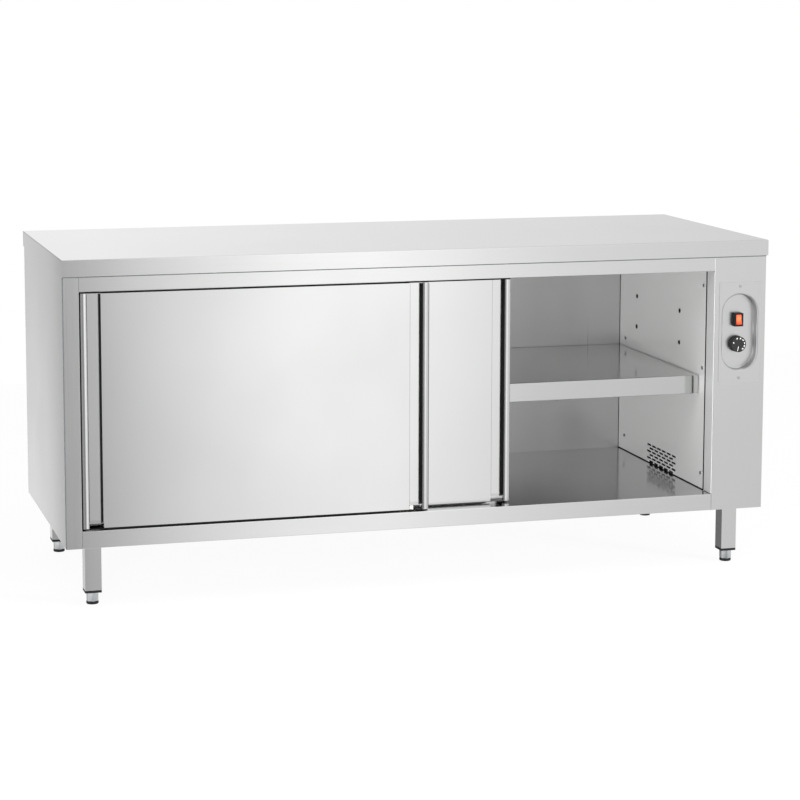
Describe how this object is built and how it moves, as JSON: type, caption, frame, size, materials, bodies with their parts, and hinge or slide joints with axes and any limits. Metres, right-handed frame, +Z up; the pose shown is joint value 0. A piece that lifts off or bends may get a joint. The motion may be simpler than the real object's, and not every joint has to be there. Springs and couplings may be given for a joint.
{
  "type": "heated plate cabinet",
  "caption": "Low stainless heated cabinet on square legs with a plain worktop, overlapping sliding doors with deep finger channels, an inner shelf and a recessed control panel.",
  "frame": {"origin": "on the floor under the middle of the worktop", "axes": "+X to the right seen from the front, along the worktop's length; +Y to the back; +Z up. The doors face -Y."},
  "size_m": [1.8, 0.7, 0.845],
  "materials": {
    "stainless": "satin, fine directional brushing",
    "zinc_plated": "plain plated",
    "dark_steel": "dull",
    "board": "raw particle board",
    "mineral_wool": "fibrous",
    "black_plastic": "moulded, fine texture",
    "grey_plastic": "moulded",
    "white_nylon": "moulded",
    "red_lens": "translucent, lit"
  },
  "bodies": {
    "cabinet": {"worktop": "stainless", "side_panel_left": "stainless", "side_panel_right": "stainless", "back_panel": "stainless", "stile_left": "stainless", "control_post": "stainless", "top_rail": "stainless", "bottom_rail": "stainless", "floor_deck": "stainless", "inner_wall_left": "stainless", "inner_wall_right": "stainless", "inner_wall_back": "stainless", "ceiling_panel": "stainless", "leg_front_left": "stainless", "leg_front_right": "stainless", "leg_back_left": "stainless", "leg_back_right": "stainless", "control_plate": "stainless", "worktop_stiffeners": "zinc_plated", "base_pan": "zinc_plated", "door_track": "zinc_plated", "leg_bolts": "zinc_plated", "shelf_pegs": "zinc_plated", "wall_screws": "zinc_plated", "plate_screws": "zinc_plated", "fan_housing": "zinc_plated", "fan_motor": "dark_steel", "heating_element": "dark_steel", "worktop_board": "board", "insulation": "mineral_wool", "leg_collars": "black_plastic", "track_stops": "black_plastic", "switch_housing": "black_plastic", "cable_gland": "black_plastic", "thermostat": "grey_plastic", "door_guide": "white_nylon", "terminal_block": "white_nylon"},
    "front_door": {"front_door_skin": "stainless", "front_door_pulls": "stainless", "front_door_liner": "stainless", "front_door_core": "mineral_wool", "front_door_hangers": "zinc_plated"},
    "rear_door": {"rear_door_skin": "stainless", "rear_door_pulls": "stainless", "rear_door_liner": "stainless", "rear_door_core": "mineral_wool", "rear_door_hangers": "zinc_plated"},
    "front_roller_left": {"front_roller_left": "white_nylon"},
    "front_roller_right": {"front_roller_right": "white_nylon"},
    "rear_roller_left": {"rear_roller_left": "white_nylon"},
    "rear_roller_right": {"rear_roller_right": "white_nylon"},
    "shelf": {"shelf_panel": "stainless", "shelf_stiffeners": "zinc_plated"},
    "switch_rocker": {"switch_rocker": "red_lens"},
    "thermostat_knob": {"thermostat_knob": "black_plastic"},
    "fan_drum": {"fan_drum": "zinc_plated"},
    "foot_front_left": {"foot_front_left": "stainless"},
    "foot_front_right": {"foot_front_right": "stainless"},
    "foot_back_left": {"foot_back_left": "stainless"},
    "foot_back_right": {"foot_back_right": "stainless"}
  },
  "joints": [
    {"name": "front_door_slide", "type": "slide", "parent": "cabinet", "child": "front_door", "axis": [1, 0, 0], "range_m": [0, 0.752]},
    {"name": "rear_door_slide", "type": "slide", "parent": "cabinet", "child": "rear_door", "axis": [1, 0, 0], "range_m": [-0.225, 0.527]},
    {"name": "front_roller_left_spin", "type": "hinge", "parent": "front_door", "child": "front_roller_left", "pos_m": [-0.765, -0.318, 0.7893], "axis": [0, 1, 0], "continuous": true},
    {"name": "front_roller_right_spin", "type": "hinge", "parent": "front_door", "child": "front_roller_right", "pos_m": [-0.088, -0.318, 0.7893], "axis": [0, 1, 0], "continuous": true},
    {"name": "rear_roller_left_spin", "type": "hinge", "parent": "rear_door", "child": "rear_roller_left", "pos_m": [-0.54, -0.278, 0.7893], "axis": [0, 1, 0], "continuous": true},
    {"name": "rear_roller_right_spin", "type": "hinge", "parent": "rear_door", "child": "rear_roller_right", "pos_m": [0.137, -0.278, 0.7893], "axis": [0, 1, 0], "continuous": true},
    {"name": "shelf_lift", "type": "slide", "parent": "cabinet", "child": "shelf", "axis": [0, 0, 1], "range_m": [0, 0.12]},
    {"name": "switch_rock", "type": "hinge", "parent": "cabinet", "child": "switch_rocker", "pos_m": [0.828, -0.3335, 0.64], "axis": [1, 0, 0], "range_deg": [0, 16]},
    {"name": "knob_turn", "type": "hinge", "parent": "cabinet", "child": "thermostat_knob", "pos_m": [0.828, -0.331, 0.577], "axis": [0, 1, 0], "range_deg": [0, 270]},
    {"name": "fan_spin", "type": "hinge", "parent": "cabinet", "child": "fan_drum", "pos_m": [0.8162, -0.001, 0.2254], "axis": [0, 1, 0], "continuous": true},
    {"name": "foot_front_left_screw", "type": "slide", "parent": "cabinet", "child": "foot_front_left", "axis": [0, 0, -1], "range_m": [0, 0.03]},
    {"name": "foot_front_right_screw", "type": "slide", "parent": "cabinet", "child": "foot_front_right", "axis": [0, 0, -1], "range_m": [0, 0.03]},
    {"name": "foot_back_left_screw", "type": "slide", "parent": "cabinet", "child": "foot_back_left", "axis": [0, 0, -1], "range_m": [0, 0.03]},
    {"name": "foot_back_right_screw", "type": "slide", "parent": "cabinet", "child": "foot_back_right", "axis": [0, 0, -1], "range_m": [0, 0.03]}
  ],
  "couplings": [
    {"joint": "front_roller_left_spin", "follows": "front_door_slide", "rad_per_m": 111.11},
    {"joint": "front_roller_right_spin", "follows": "front_door_slide", "rad_per_m": 111.11},
    {"joint": "rear_roller_left_spin", "follows": "rear_door_slide", "rad_per_m": 111.11},
    {"joint": "rear_roller_right_spin", "follows": "rear_door_slide", "rad_per_m": 111.11}
  ]
}
